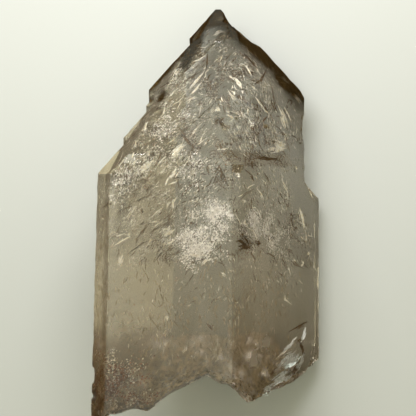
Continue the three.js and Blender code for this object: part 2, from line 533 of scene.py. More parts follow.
@dataclass
class QuartzSkin:
    """The outside of the crystal, refined from the frame's solid."""

    weld_mm: float = 0.002
    # A triangle narrower than this has no steady normal of its own.
    sliver_mm: float = 0.08
    sliver_passes: int = 4
    longest_edge_mm: float = 1.0
    # A triangle this close to the direction of a quartz face has grown there, and the rest are broken.
    face_match: float = math.radians(2.2)
    # An edge bent by more than this is a ridge, on a growth face and on the break.
    face_ridge: float = math.radians(5)
    break_ridge: float = math.radians(38)
    # Growth faces swell a little, ridges are worn, and the break is hackly.
    swell_mm: float = 0.035
    swell_size_mm: float = 6.0
    wear_width_mm: float = 0.5
    wear_mm: float = 0.2
    wear_size_mm: float = 1.6
    wear_bias: float = 0.15
    hackle_mm: float = 0.5
    hackle_size_mm: float = 2.2
    hackle_octaves: int = 3
    # Edges of one length are told apart by a tiny share of their number, the same in both of their triangles.
    tie_break: float = 1e-9
    tie_cycle: int = 9973
    # The glassy scar is part of a ball-shaped hollow, with ripples that spread from where the blow fell.
    scar_centre_mm: tuple[float, float, float] = (47.4, -38.6, 26.2)
    scar_radius_mm: float = 36.5
    scar_skin_mm: float = 0.5
    scar_dullness: float = 0.12
    blow_mm: tuple[float, float, float] = (17.0, -39.0, 9.0)
    ripple_mm: float = 2.0
    ripple_height_mm: float = 0.24
    ripple_sway: float = 0.8
    # Painted shade lies along the rims of the tip, a thin line at the left and a wider one at the right, and
    # darkens the tip itself.
    rim_from_mm: float = 22.0
    rim_middle_mm: float = 2.0
    left_rim_mm: float = 1.3
    right_rim_mm: float = 3.2
    tip_y_mm: float = 40.2
    dark_tip_mm: float = 8.0
    rim_step_mm: float = 0.4
    rim_shade_gain: float = 2.6
    rim_shade_patch_mm: float = 2.4
    rim_shade_patch_mean: float = 0.75
    rim_shade_patch_swing: float = 0.5
    # The smoke inside thickens towards the left and the foot.
    smoke_middle: float = 0.4
    smoke_per_mm: tuple[float, float, float] = (-0.015, -0.024, 0.0)
    smoke_most: float = 1.4
    # Rust spreads in patches from the lower left corner.
    rust_corner_mm: tuple[float, float, float] = (-19.5, -37.0, 20.0)
    rust_mm: float = 15.0
    rust_patch_mm: float = 2.2
    rust_mean: float = 0.7
    rust_swing: float = 1.6
    rust_gain: float = 1.6
    rust_most: float = 0.9
    rim_points: list[Vector] = field(default_factory=list)

    def ideal_normals(self) -> list[Vector]:
        """List the directions of the six prism faces and the six tip faces.

        Returns:
            Twelve unit vectors.
        """
        normals = []
        for k in range(PRISM_FACES):
            angle = PRISM_FIRST + k * FACE_STEP
            side = Vector((math.cos(angle), 0, math.sin(angle)))
            normals.append(side)
            normals.append(side * math.sin(TIP_FACE_ANGLE) + Vector((0, math.cos(TIP_FACE_ANGLE), 0)))
        return normals

    def build(self, finish: SmokyQuartz) -> bpy.types.Object:
        """Refine the solid, give it its relief and dress it.

        Args:
            finish: The quartz material.

        Returns:
            The piece that stands for the frame's node.
        """
        points, corners, grown, ridges = self.merged_solid()
        points, corners, grown, ridges = self.refined(points, corners, grown, ridges)
        mesh = bpy.data.meshes.new("quartz_point")
        mesh.from_pydata(points.tolist(), [], corners.tolist())
        mesh.shade_smooth()
        sharp = mesh.attributes.new("sharp_edge", "BOOLEAN", "EDGE")
        pairs = np.zeros(2 * len(mesh.edges), dtype=np.int64)
        mesh.edges.foreach_get("vertices", pairs)
        pairs = np.sort(pairs.reshape(-1, 2), axis=1)
        ridge_keys = ridges[:, 0] * len(points) + ridges[:, 1]
        is_ridge = np.isin(pairs[:, 0] * len(points) + pairs[:, 1], ridge_keys)
        sharp.data.foreach_set("value", is_ridge)
        broken = np.zeros(len(points))
        around = np.zeros(len(points))
        np.add.at(broken, corners.ravel(), np.repeat(1.0 - grown, 3))
        np.add.at(around, corners.ravel(), 1.0)
        broken /= around
        on_scar = np.array([self.on_scar(point / MM) for point in points])
        add_values(mesh, "scar", on_scar.astype(np.float32))
        dull = np.where(on_scar, self.scar_dullness * broken, broken)
        add_values(mesh, "broken", dull.astype(np.float32))
        self.tint(mesh)
        self.relieve(mesh, broken, np.unique(ridges))
        piece = add_piece("quartz_point", mesh, finish.material())
        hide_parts(NODE)
        return piece

    def merged_solid(self) -> tuple[np.ndarray, np.ndarray, np.ndarray, np.ndarray]:
        """Merge the solid's loose triangles and find its ridges.

        Returns:
            Points, triangles, whether each triangle lies on a growth face, and the ridges as point pairs.
        """
        shape = bmesh.new()
        shape.from_mesh(bpy.data.objects[NODE].data)
        bmesh.ops.remove_doubles(shape, verts=shape.verts, dist=self.weld_mm * MM)
        bmesh.ops.dissolve_degenerate(shape, dist=self.weld_mm * MM, edges=shape.edges)
        bmesh.ops.triangulate(shape, faces=shape.faces)
        ideals = self.ideal_normals()
        on_face = math.cos(self.face_match)
        shape.verts.index_update()
        normals = self.steady_normals(shape)
        grown = {face: max(normals[face].dot(ideal) for ideal in ideals) > on_face for face in shape.faces}
        ridges = []
        for edge in shape.edges:
            limit = self.face_ridge if any(grown[face] for face in edge.link_faces) else self.break_ridge
            one, other = (normals[face] for face in edge.link_faces)
            if one.angle(other) > limit:
                ridges.append(sorted(vertex.index for vertex in edge.verts))
            heights = (one.z, other.z)
            ends = [vertex.co for vertex in edge.verts]
            if min(heights) < 0 < max(heights) and min(end.y for end in ends) > self.rim_from_mm * MM:
                count = max(1, round(edge.calc_length() / (self.rim_step_mm * MM)))
                self.rim_points.extend(ends[0].lerp(ends[1], k / count) for k in range(count + 1))
        points = np.array([vertex.co for vertex in shape.verts])
        corners = np.array([[vertex.index for vertex in face.verts] for face in shape.faces])
        flags = np.array([grown[face] for face in shape.faces], dtype=float)
        shape.free()
        return points, corners, flags, np.array(ridges)

    def steady_normals(self, shape: bmesh.types.BMesh) -> dict[bmesh.types.BMFace, Vector]:
        """Give each triangle's normal, where a sliver takes that of the triangle along its longest side.

        Args:
            shape: The merged solid.

        Returns:
            The normal of every triangle.
        """
        normals = {face: face.normal.copy() for face in shape.faces}
        beside = {}
        for face in shape.faces:
            longest = max(face.edges, key=lambda edge: edge.calc_length())
            if 2 * face.calc_area() < self.sliver_mm * MM * longest.calc_length():
                beside[face] = next(near for near in longest.link_faces if near is not face)
        for _ in range(self.sliver_passes):
            for face, near in beside.items():
                normals[face] = normals[near]
        return normals

    def refined(
        self, points: np.ndarray, corners: np.ndarray, grown: np.ndarray, ridges: np.ndarray
    ) -> tuple[np.ndarray, np.ndarray, np.ndarray, np.ndarray]:
        """Halve, again and again, each long edge that is the longest in both of its triangles.

        Args:
            points: Corner points.
            corners: Three point numbers for each triangle.
            grown: One for a triangle on a growth face.
            ridges: Point pairs of the ridges.

        Returns:
            The same four, refined.
        """
        limit = self.longest_edge_mm * MM
        ridges = np.sort(ridges, axis=1)
        while True:
            sides = np.stack([corners, np.roll(corners, -1, axis=1)], axis=2)
            lengths = np.linalg.norm(points[sides[:, :, 0]] - points[sides[:, :, 1]], axis=2)
            ordered = np.sort(sides, axis=2)
            keys = ordered[:, :, 0] * len(points) + ordered[:, :, 1]
            longest = (lengths * (1 + self.tie_break * (keys % self.tie_cycle))).argmax(axis=1)
            rows = np.arange(len(corners))
            own_key = keys[rows, longest]
            known, first, counts = np.unique(own_key, return_index=True, return_counts=True)
            chosen = (counts == 2) & (lengths[rows, longest][first] > limit)
            if not chosen.any():
                return points, corners, grown, ridges
            split_keys = known[chosen]
            ends = np.stack([split_keys // len(points), split_keys % len(points)], axis=1)
            fresh = np.arange(len(ends)) + len(points)
            place = np.searchsorted(split_keys, own_key)
            place[place == len(split_keys)] = 0
            cut = split_keys[place] == own_key
            middle = fresh[place[cut]]
            turned = np.take_along_axis(corners[cut], (longest[cut][:, None] + np.arange(3)) % 3, axis=1)
            left = np.stack([turned[:, 0], middle, turned[:, 2]], axis=1)
            right = np.stack([middle, turned[:, 1], turned[:, 2]], axis=1)
            ridge_keys = ridges[:, 0] * len(points) + ridges[:, 1]
            spot = np.searchsorted(split_keys, ridge_keys)
            spot[spot == len(split_keys)] = 0
            halved = split_keys[spot] == ridge_keys
            new_ends = fresh[spot[halved]]
            ridges = np.concatenate(
                [
                    ridges[~halved],
                    np.stack([ridges[halved][:, 0], new_ends], axis=1),
                    np.stack([ridges[halved][:, 1], new_ends], axis=1),
                ]
            )
            points = np.concatenate([points, points[ends].mean(axis=1)])
            corners = np.concatenate([corners[~cut], left, right])
            grown = np.concatenate([grown[~cut], grown[cut], grown[cut]])

    def on_scar(self, place_mm: np.ndarray) -> bool:
        """Say whether a place lies on the hollow of the glassy scar."""
        away = float(np.linalg.norm(place_mm - np.array(self.scar_centre_mm)))
        return abs(away - self.scar_radius_mm) < self.scar_skin_mm

    def tint(self, mesh: bpy.types.Mesh) -> None:
        """Keep how each point colours the light: painted shade along the tip's rims and over the tip, denser
        smoke towards the left and the foot, rust at one corner.

        Args:
            mesh: The refined mesh, still on the solid's faces.
        """
        rims = kdtree.KDTree(len(self.rim_points))
        for index, point in enumerate(self.rim_points):
            rims.insert(point.to_2d().to_3d(), index)
        rims.balance()
        corner = Vector(self.rust_corner_mm)
        smoke: list[float] = []
        rim_shade_at: list[float] = []
        rust: list[float] = []
        for vertex in mesh.vertices:
            place = vertex.co / MM
            cloud = self.rim_shade_patch_mean + self.rim_shade_patch_swing * noise.noise(place / self.rim_shade_patch_mm)
            away = rims.find(vertex.co.to_2d().to_3d())[2] / MM
            from_tip = (self.tip_y_mm - place.y) / self.dark_tip_mm
            width = self.left_rim_mm if place.x < self.rim_middle_mm else self.right_rim_mm
            # Painted shade: dark near the tip's outline and towards the tip, in patches.
            rim_shade = max(0.0, 1 - away / width, 1 - from_tip) * cloud
            stain = max(0.0, 1 - (place - corner).length / self.rust_mm)
            stain *= max(0.0, self.rust_mean + self.rust_swing * noise.noise(place / self.rust_patch_mm))
            haze = self.smoke_middle + place.dot(Vector(self.smoke_per_mm))
            rim_shade_at.append(min(1.0, self.rim_shade_gain * rim_shade))
            smoke.append(max(0.0, min(self.smoke_most, haze)))
            rust.append(min(self.rust_most, self.rust_gain * stain))
        add_values(mesh, "rim_shade", rim_shade_at)
        add_values(mesh, "smoke", smoke)
        add_values(mesh, "rust", rust)

    def relieve(self, mesh: bpy.types.Mesh, broken: np.ndarray, ridge_points: np.ndarray) -> None:
        """Move the surface a little: swells on growth faces, worn edges, hackles on the break.

        Args:
            mesh: The refined mesh.
            broken: For each point, how much of the surface around it is broken.
            ridge_points: Numbers of the points on ridges.
        """
        tree = kdtree.KDTree(len(ridge_points))
        for index in ridge_points:
            tree.insert(mesh.vertices[index].co, int(index))
        tree.balance()
        blow = Vector(self.blow_mm)
        moved = np.zeros((len(mesh.vertices), 3))
        for vertex, break_share in zip(mesh.vertices, broken.tolist()):
            place = vertex.co / MM
            near = max(0.0, 1 - tree.find(vertex.co)[2] / (self.wear_width_mm * MM))
            worn = max(0.0, noise.noise(place / self.wear_size_mm) + self.wear_bias)
            wear = self.wear_mm * near**2 * worn
            bulge = noise.noise(place / self.swell_size_mm)
            swell = self.swell_mm * bulge
            rugged = noise.turbulence(place / self.hackle_size_mm, self.hackle_octaves, True)
            hackle = self.hackle_mm * rugged
            if self.on_scar(np.array(place)):
                spread = (place - blow).length / self.ripple_mm + self.ripple_sway * bulge
                hackle = self.ripple_height_mm * (1 + math.sin(2 * math.pi * spread))
            away = ((1 - break_share) * swell - break_share * hackle - wear) * MM
            moved[vertex.index] = vertex.co + away * vertex.normal
        moved[:, 2] = np.maximum(moved[:, 2], 0.0)
        mesh.vertices.foreach_set("co", moved.ravel())
        mesh.update()


@dataclass(frozen=True)
class Veil:
    """One healed crack: a curved ragged sheet inside the quartz, placed by what the photograph shows."""

    pixel: tuple[float, float]
    depth_mm: float
    size_mm: tuple[float, float]
    spin: float
    fill: float

    def pixel_at(self, u: float, v: float, mm_per_pixel: float) -> tuple[float, float]:
        """Give the pixel at a place on the sheet.

        Args:
            u: Millimetres across the sheet's grain, from its middle.
            v: Millimetres along the grain.
            mm_per_pixel: Scale of the photograph.

        Returns:
            The pixel's column and row.
        """
        right = u * math.cos(self.spin) - v * math.sin(self.spin)
        rise = u * math.sin(self.spin) + v * math.cos(self.spin)
        return self.pixel[0] + right / mm_per_pixel, self.pixel[1] - rise / mm_per_pixel


@dataclass
class HealedVeils:
    """Healed cracks, each a sheet strewn with tiny flecks."""

    view: PhotoView
    name: str
    finish: Finish
    veils: Sequence[Veil]
    per_mm2: float
    shortest_mm: float
    longest_mm: float
    slenderness: float
    seed: int
    cells: int = 26
    bow_mm: float = 0.9
    bow_size_mm: float = 7.0
    # Each sheet reads the pattern of bows at a place of its own.
    sheets_apart: float = 9.7
    margin_mm: float = 0.5
    patch_mm: float = 2.6
    patch_mean: float = 0.5
    patch_swing: float = 1.1
    ragged_swing: float = 0.5
    ragged_scale: float = 3.0
    edge_gain: float = 1.6
    fleck_corners: int = 5
    lift: float = math.radians(38)
    swerve: float = math.radians(30)
    # Most flecks are small: an even chance is raised to this power.
    small_bias: float = 3.2

    def build(self) -> bpy.types.Object:
        """Make the sheets, strew the flecks over them and dress the result.

        Returns:
            The piece with all the flecks.
        """
        sheets = self.sheets()
        base = bpy.data.objects.new(self.name + "_sheets", sheets)
        bpy.context.scene.collection.objects.link(base)
        material = self.finish.value.material()
        modifier = base.modifiers.new("flecks", "NODES")
        modifier.node_group = self.fleck_tree(material)
        values = self.tree_values()
        for item in modifier.node_group.interface.items_tree:
            if item.name in values:
                modifier[item.identifier] = values[item.name]
        seen = base.evaluated_get(bpy.context.evaluated_depsgraph_get())
        mesh = bpy.data.meshes.new_from_object(seen)
        mesh.name = self.name
        bpy.data.objects.remove(base)
        return add_piece(self.name, mesh, material)

    def tree_values(self) -> dict[str, Any]:
        """Give the fleck tree's named inputs."""
        return {
            "Flecks per m2": self.per_mm2 / MM**2,
            "Shortest": self.shortest_mm * MM,
            "Longest": self.longest_mm * MM,
            "Slenderness": self.slenderness,
            "Seed": self.seed,
        }

    def sheets(self) -> bpy.types.Mesh:
        """Make every veil's sheet, kept where it lies inside the quartz.

        Returns:
            One mesh with a fill and a grain at each point.
        """
        points: list[Vector] = []
        fills: list[float] = []
        grain: list[float] = []
        faces: list[tuple[int, ...]] = []
        for number, veil in enumerate(self.veils):
            first = len(points)
            along = Quaternion(self.view.towards, veil.spin) @ self.view.up
            inside: list[bool] = []
            for row in range(self.cells + 1):
                for column in range(self.cells + 1):
                    v = (row / self.cells - 0.5) * veil.size_mm[0]
                    u = (column / self.cells - 0.5) * veil.size_mm[1]
                    place = Vector((u, v, self.sheets_apart * number + self.seed)) / self.bow_size_mm
                    depth = max(self.margin_mm, veil.depth_mm + self.bow_mm * noise.noise(place))
                    point = self.view.inside(veil.pixel_at(u, v, self.view.mm_per_pixel), depth)
                    inside.append(point is not None and self.view.holds(point, self.margin_mm))
                    point = point or Vector()
                    patch = self.patch_mean + self.patch_swing * noise.noise(point / MM / self.patch_mm)
                    radius = math.hypot(2 * u / veil.size_mm[1], 2 * v / veil.size_mm[0])
                    ragged = 1 - radius + self.ragged_swing * noise.noise(place * self.ragged_scale)
                    points.append(point)
                    grain.extend(along)
                    fills.append(veil.fill * max(0.0, min(1.0, self.edge_gain * ragged)) * max(0.0, patch))
            for row in range(self.cells):
                for column in range(self.cells):
                    here = row * (self.cells + 1) + column
                    above = here + self.cells + 1
                    corners = (here, here + 1, above + 1, above)
                    if all(inside[k] for k in corners):
                        faces.append(tuple(first + k for k in corners))
        mesh = bpy.data.meshes.new(self.name)
        mesh.from_pydata(points, [], faces)
        add_values(mesh, "fill", fills)
        mesh.attributes.new("grain", "FLOAT_VECTOR", "POINT").data.foreach_set("vector", grain)
        return mesh

    def fleck_tree(self, material: bpy.types.Material) -> bpy.types.NodeTree:
        """Build the tree that strews flecks over the sheets.

        Args:
            material: The flecks' material.

        Returns:
            The geometry node tree.
        """
        tree = bpy.data.node_groups.new(self.name, "GeometryNodeTree")
        face = tree.interface
        face.new_socket("Sheets", in_out="INPUT", socket_type="NodeSocketGeometry")
        for name in ("Flecks per m2", "Shortest", "Longest", "Slenderness"):
            face.new_socket(name, in_out="INPUT", socket_type="NodeSocketFloat")
        face.new_socket("Seed", in_out="INPUT", socket_type="NodeSocketInt")
        face.new_socket("Flecks", in_out="OUTPUT", socket_type="NodeSocketGeometry")
        sizes = add_node(tree, "NodeGroupInput", {}).outputs
        fill = add_node(tree, "GeometryNodeInputNamedAttribute", {"Name": "fill"}, data_type="FLOAT")
        density = add_node(
            tree, "ShaderNodeMath", {0: fill.outputs[0], 1: sizes["Flecks per m2"]}, operation="MULTIPLY"
        )
        strewn = add_node(
            tree,
            "GeometryNodeDistributePointsOnFaces",
            {"Mesh": sizes["Sheets"], "Density": density.outputs[0], "Seed": sizes["Seed"]},
        )
        # A fleck is one unit across here, and is scaled to its size where it is placed.
        fleck = add_node(
            tree, "GeometryNodeMeshCircle", {"Vertices": self.fleck_corners, "Radius": 0.5}, fill_type="NGON"
        )
        chance = add_node(tree, "FunctionNodeRandomValue", {"Seed": sizes["Seed"]}, data_type="FLOAT")
        mostly_small = add_node(
            tree, "ShaderNodeMath", {0: chance.outputs[1], 1: self.small_bias}, operation="POWER"
        )
        length = add_node(
            tree,
            "ShaderNodeMapRange",
            {"Value": mostly_small.outputs[0], "To Min": sizes["Shortest"], "To Max": sizes["Longest"]},
        )
        width = add_node(
            tree, "ShaderNodeMath", {0: length.outputs[0], 1: sizes["Slenderness"]}, operation="DIVIDE"
        )
        size = add_node(
            tree,
            "ShaderNodeCombineXYZ",
            {"X": width.outputs[0], "Y": length.outputs[0], "Z": width.outputs[0]},
        )
        lean = add_node(
            tree,
            "FunctionNodeRandomValue",
            {
                0: (-self.lift, -self.lift, -self.swerve),
                1: (self.lift, self.lift, self.swerve),
                "Seed": sizes["Seed"],
            },
            data_type="FLOAT_VECTOR",
        )
        grain = add_node(tree, "GeometryNodeInputNamedAttribute", {"Name": "grain"}, data_type="FLOAT_VECTOR")
        lying = add_node(
            tree,
            "FunctionNodeAxesToRotation",
            {0: strewn.outputs["Normal"], 1: grain.outputs[0]},
            primary_axis="Z",
            secondary_axis="Y",
        )
        turned = add_node(
            tree,
            "FunctionNodeRotateRotation",
            {"Rotation": lying.outputs[0], "Rotate By": lean.outputs[0]},
            rotation_space="LOCAL",
        )
        placed = add_node(
            tree,
            "GeometryNodeInstanceOnPoints",
            {
                "Points": strewn.outputs["Points"],
                "Instance": fleck.outputs["Mesh"],
                "Rotation": turned.outputs[0],
                "Scale": size.outputs[0],
            },
        )
        real = add_node(tree, "GeometryNodeRealizeInstances", {"Geometry": placed.outputs[0]})
        dressed = add_node(
            tree, "GeometryNodeSetMaterial", {"Geometry": real.outputs[0], "Material": material}
        )
        add_node(tree, "NodeGroupOutput", {"Flecks": dressed.outputs[0]})
        return tree


@dataclass
class BreakCrust(HealedVeils):
    """Dust that clings to the broken end, just under its surface."""

    skin: bpy.types.Mesh | None = None
    under_mm: float = 0.45
    least_broken: float = 0.95
    dust_mean: float = 0.8

    def sheets(self) -> bpy.types.Mesh:
        """Copy the broken part of the skin, set a little inwards.

        Returns:
            A mesh with a patchy fill and a grain at each point.
        """
        broken = [value.value for value in self.skin.attributes["broken"].data]
        points = [vertex.co - vertex.normal * self.under_mm * MM for vertex in self.skin.vertices]
        faces = [
            tuple(face.vertices)
            for face in self.skin.polygons
            if all(
                broken[k] > self.least_broken and self.view.holds(points[k], self.margin_mm)
                for k in face.vertices
            )
        ]
        mesh = bpy.data.meshes.new(self.name)
        mesh.from_pydata(points, [], faces)
        fills = [max(0.0, self.dust_mean + noise.noise(point / MM / self.patch_mm)) for point in points]
        grain = [axis for point in points for axis in self.view.up]
        add_values(mesh, "fill", fills)
        mesh.attributes.new("grain", "FLOAT_VECTOR", "POINT").data.foreach_set("vector", grain)
        return mesh


@dataclass(frozen=True)
class Streak:
    """One larger flake or crack, drawn along pixels of the photograph."""

    pixels: tuple[tuple[float, float], ...]
    depth_mm: float
    width_mm: float


@dataclass(frozen=True)
class Scatter:
    """Many small cracks that follow the grain of the veils around them."""

    veils: Sequence[Veil]
    count: int
    length_px: tuple[float, float]
    width_mm: tuple[float, float]
    seed: int
    reach: float = 0.4
    stray: float = math.radians(16)
    bend_px: float = 2.5

    def streaks(self, mm_per_pixel: float) -> list[Streak]:
        """Draw the cracks by chance.

        Args:
            mm_per_pixel: Scale of the photograph.

        Returns:
            One streak of three pixels for each crack.
        """
        chance = random.Random(self.seed)
        weights = [veil.size_mm[0] * veil.size_mm[1] * veil.fill for veil in self.veils]
        made = []
        for veil in chance.choices(self.veils, weights, k=self.count):
            u = chance.uniform(-self.reach, self.reach) * veil.size_mm[1]
            v = chance.uniform(-self.reach, self.reach) * veil.size_mm[0]
            middle = veil.pixel_at(u, v, mm_per_pixel)
            half = chance.uniform(*self.length_px) / 2
            angle = veil.spin + chance.gauss(0, self.stray)
            bend = chance.gauss(0, self.bend_px)
            along = (-math.sin(angle) * half, -math.cos(angle) * half)
            aside = (math.cos(angle) * bend, -math.sin(angle) * bend)
            start = (middle[0] - along[0], middle[1] - along[1])
            bent = (middle[0] + aside[0], middle[1] + aside[1])
            end = (middle[0] + along[0], middle[1] + along[1])
            made.append(Streak((start, bent, end), veil.depth_mm, chance.uniform(*self.width_mm)))
        return made


@dataclass
class Fractures:
    """Larger cleavage flakes and cracks, each a bundle of thin slivers inside the quartz."""

    view: PhotoView
    name: str
    finish: Finish
    streaks: Sequence[Streak]
    seed: int
    step_px: float = 1.0
    sliver_mm: tuple[float, float] = (0.12, 0.5)
    per_mm: float = 9.0
    fewest: int = 3
    # A sliver starts and stops within these shares of its bundle's length.
    starts: tuple[float, float] = (0.0, 0.45)
    stops: tuple[float, float] = (0.6, 1.0)
    spread: float = 0.32
    wander: float = 0.5
    wander_mm: float = 0.8
    wander_apart: float = 9.0
    tilt: float = math.radians(16)
    fewest_points: int = 3

    def build(self) -> bpy.types.Object:
        """Draw every bundle and dress them.

        Returns:
            The piece with all the slivers.
        """
        points: list[Vector] = []
        faces: list[tuple[int, ...]] = []
        chance = random.Random(self.seed)
        for streak in self.streaks:
            line = self.line_inside(streak)
            for _ in range(max(self.fewest, round(streak.width_mm * self.per_mm))):
                first = round(chance.uniform(*self.starts) * len(line))
                last = round(chance.uniform(*self.stops) * len(line))
                aside = chance.gauss(0, self.spread) * streak.width_mm
                width = chance.uniform(*self.sliver_mm)
                self.add_sliver(line[first:last], aside, width, points, faces)
        mesh = bpy.data.meshes.new(self.name)
        mesh.from_pydata(points, [], faces)
        return add_piece(self.name, mesh, self.finish.value.material())

    def line_inside(self, streak: Streak) -> list[Vector]:
        """Follow a streak's pixels inside the quartz.

        Args:
            streak: The bundle's path and depth.

        Returns:
            Points of its middle line, in small steps.
        """
        line: list[Vector] = []
        for start, end in zip(streak.pixels, streak.pixels[1:]):
            count = max(1, round(math.dist(start, end) / self.step_px))
            for k in range(count + 1):
                pixel = [a + (b - a) * k / count for a, b in zip(start, end)]
                point = self.view.inside(pixel, streak.depth_mm)
                if point is not None:
                    line.append(point)
        return line

    def add_sliver(
        self,
        line: list[Vector],
        aside_mm: float,
        width_mm: float,
        points: list[Vector],
        faces: list[tuple[int, ...]],
    ) -> None:
        """Add one sliver beside a middle line, pointed at both ends.

        Args:
            line: Points of the middle line.
            aside_mm: Distance from the middle line.
            width_mm: Greatest width.
            points: The mesh's points so far.
            faces: The mesh's faces so far.
        """
        if len(line) < self.fewest_points:
            return
        first = len(points)
        lean = Quaternion(self.view.up, self.tilt) @ self.view.towards
        for k, point in enumerate(line):
            ahead = line[min(k + 1, len(line) - 1)] - line[max(k - 1, 0)]
            side = ahead.cross(lean).normalized()
            taper = math.sin(math.pi * k / (len(line) - 1))
            own_place = Vector((aside_mm * self.wander_apart, 0, 0))
            sway = self.wander * noise.noise(point / MM / self.wander_mm + own_place)
            middle = point + side * (aside_mm + sway * width_mm) * MM
            half = side * width_mm * MM / 2 * taper
            points.append(middle - half)
            points.append(middle + half)
        for k in range(len(line) - 1):
            here = first + 2 * k
            faces.append((here, here + 1, here + 3, here + 2))


@dataclass
class Studio:
    """A pale floor under soft light from above and from beyond the tip."""

    floor_colour: str = "#999a95"
    floor_roughness: float = 0.9
    floor_gloss: float = 0.1
    floor_half_m: float = 1.5
    floor_gap_mm: float = 0.1
    sky_top: str = "#f7f7dd"
    sky_edge: str = "#8d8772"
    # Below the floor's level only the glassy faces look, and there they mirror a brown room.
    under_colour: str = "#5a4424"
    under_fall: float = -0.25
    sky_rise: tuple[float, float] = (0.1, 0.6)
    sky_from: tuple[float, float, float] = (-0.3, 0.2, 1.0)
    sky_strength: float = 1.28
    key_watts: float = 0.65
    key_colour: str = "#fafaff"
    key_size_m: tuple[float, float] = (0.16, 0.07)
    key_place_m: tuple[float, float, float] = (-0.01, 0.12, 0.13)
    clear_bounces: int = 28
    diffuse_bounces: int = 5
    see_through_bounces: int = 24
    brightest_bounce: float = 8.0
    gloss_blur: float = 0.4

    def build(self) -> None:
        """Add the floor, the sky and the soft key light, and set how light is carried through the quartz."""
        self.add_floor()
        self.add_sky()
        self.add_key()
        scene = bpy.context.scene
        scene.view_settings.view_transform = "Standard"
        scene.cycles.max_bounces = self.clear_bounces
        scene.cycles.transmission_bounces = self.clear_bounces
        scene.cycles.glossy_bounces = self.clear_bounces
        scene.cycles.diffuse_bounces = self.diffuse_bounces
        scene.cycles.transparent_max_bounces = self.see_through_bounces
        scene.cycles.sample_clamp_indirect = self.brightest_bounce
        scene.cycles.blur_glossy = self.gloss_blur
        scene.cycles.use_denoising = True

    def add_floor(self) -> None:
        """Lay the floor just under the crystal."""
        mesh = bpy.data.meshes.new("floor")
        half = self.floor_half_m
        level = -self.floor_gap_mm * MM
        corners = [(-half, -half, level), (half, -half, level), (half, half, level), (-half, half, level)]
        mesh.from_pydata(corners, [], [(0, 1, 2, 3)])
        floor = bpy.data.objects.new("floor", mesh)
        material, tree = new_material("matt card")
        surface = add_node(
            tree,
            "ShaderNodeBsdfPrincipled",
            {
                "Base Color": linear(self.floor_colour),
                "Roughness": self.floor_roughness,
                "Specular IOR Level": self.floor_gloss,
            },
        )
        add_node(tree, "ShaderNodeOutputMaterial", {"Surface": surface.outputs[0]})
        mesh.materials.append(material)
        # As through a polarising filter, the card's glare is kept off the glassy faces.
        floor.visible_glossy = False
        bpy.context.scene.collection.objects.link(floor)

    def add_sky(self) -> None:
        """Surround the scene with soft light from above that dims towards the sides and the floor."""
        world = bpy.data.worlds.new("sky")
        world.use_nodes = True
        tree = world.node_tree
        tree.nodes.clear()
        direction = add_node(tree, "ShaderNodeTexCoord", {})
        height = add_node(
            tree,
            "ShaderNodeVectorMath",
            {0: direction.outputs["Generated"], 1: self.sky_from},
            operation="DOT_PRODUCT",
        )
        rise = add_node(
            tree,
            "ShaderNodeMapRange",
            {"Value": height.outputs["Value"], "From Min": self.sky_rise[0], "From Max": self.sky_rise[1]},
            interpolation_type="SMOOTHSTEP",
        )
        colour = add_node(
            tree,
            "ShaderNodeMix",
            {"Factor": rise.outputs[0], COLOUR_A: linear(self.sky_edge), COLOUR_B: linear(self.sky_top)},
            data_type="RGBA",
        )
        parts = add_node(tree, "ShaderNodeSeparateXYZ", {"Vector": direction.outputs["Generated"]})
        below = add_node(
            tree,
            "ShaderNodeMapRange",
            {"Value": parts.outputs["Z"], "From Min": 0.0, "From Max": self.under_fall},
            interpolation_type="SMOOTHSTEP",
        )
        whole = add_node(
            tree,
            "ShaderNodeMix",
            {
                "Factor": below.outputs[0],
                COLOUR_A: colour.outputs[BLEND],
                COLOUR_B: linear(self.under_colour),
            },
            data_type="RGBA",
        )
        back = add_node(
            tree, "ShaderNodeBackground", {"Color": whole.outputs[BLEND], "Strength": self.sky_strength}
        )
        add_node(tree, "ShaderNodeOutputWorld", {"Surface": back.outputs[0]})
        bpy.context.scene.world = world

    def add_key(self) -> None:
        """Hang the soft light beyond the tip, turned to the crystal."""
        data = bpy.data.lights.new("key", "AREA")
        data.shape = "RECTANGLE"
        data.size, data.size_y = self.key_size_m
        data.energy = self.key_watts
        data.color = linear(self.key_colour)[:3]
        key = bpy.data.objects.new("key", data)
        place = Vector(self.key_place_m)
        key.rotation_euler = (-place).to_track_quat("-Z", "Y").to_euler()
        key.location = place
        key.visible_camera = False
        bpy.context.scene.collection.objects.link(key)


